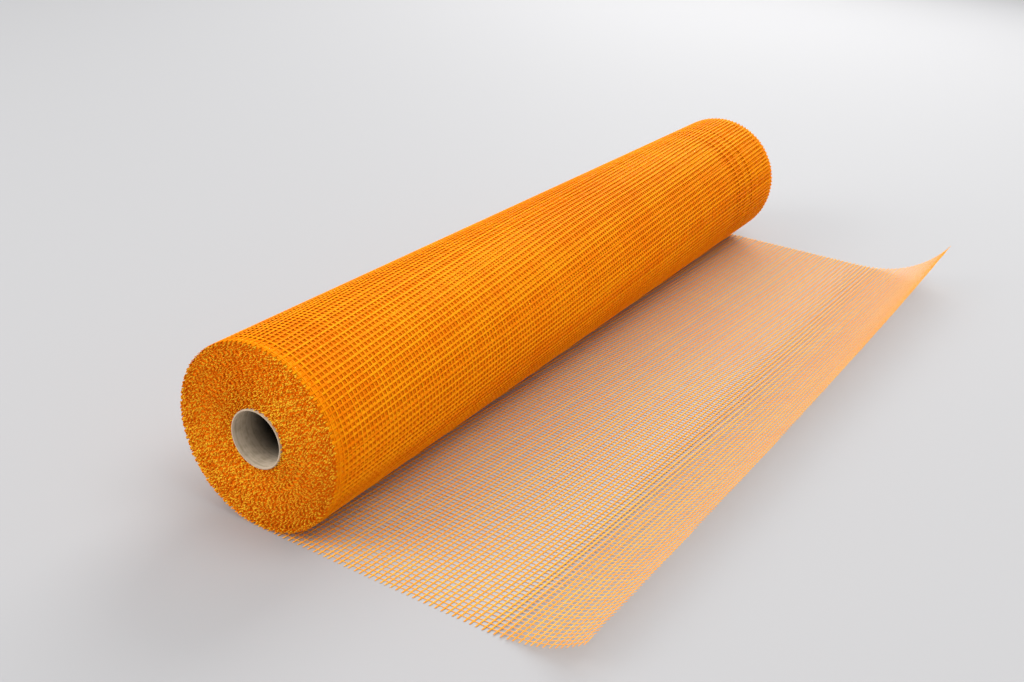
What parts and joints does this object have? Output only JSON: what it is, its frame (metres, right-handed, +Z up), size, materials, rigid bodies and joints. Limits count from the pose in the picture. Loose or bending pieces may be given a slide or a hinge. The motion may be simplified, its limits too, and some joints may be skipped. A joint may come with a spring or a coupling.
{
  "type": "roll of fiberglass mesh",
  "caption": "Roll of coated glass-fibre reinforcing mesh wound on a cardboard core, lying on the floor with its free end laid out and curling up.",
  "frame": {"origin": "on the floor, straight below the roll's axis, at the middle of its length", "axes": "+Y along the roll's axis, +X towards the free end, +Z up"},
  "size_m": [0.4377, 1, 0.172],
  "materials": {
    "cardboard": "matt grey-brown wound paper, lighter at the cut rim",
    "coated_mesh": "orange alkali-resistant coating with a soft sheen"
  },
  "bodies": {
    "root": {"core_tube": "cardboard", "mesh_strip": "coated_mesh"}
  },
  "joints": []
}
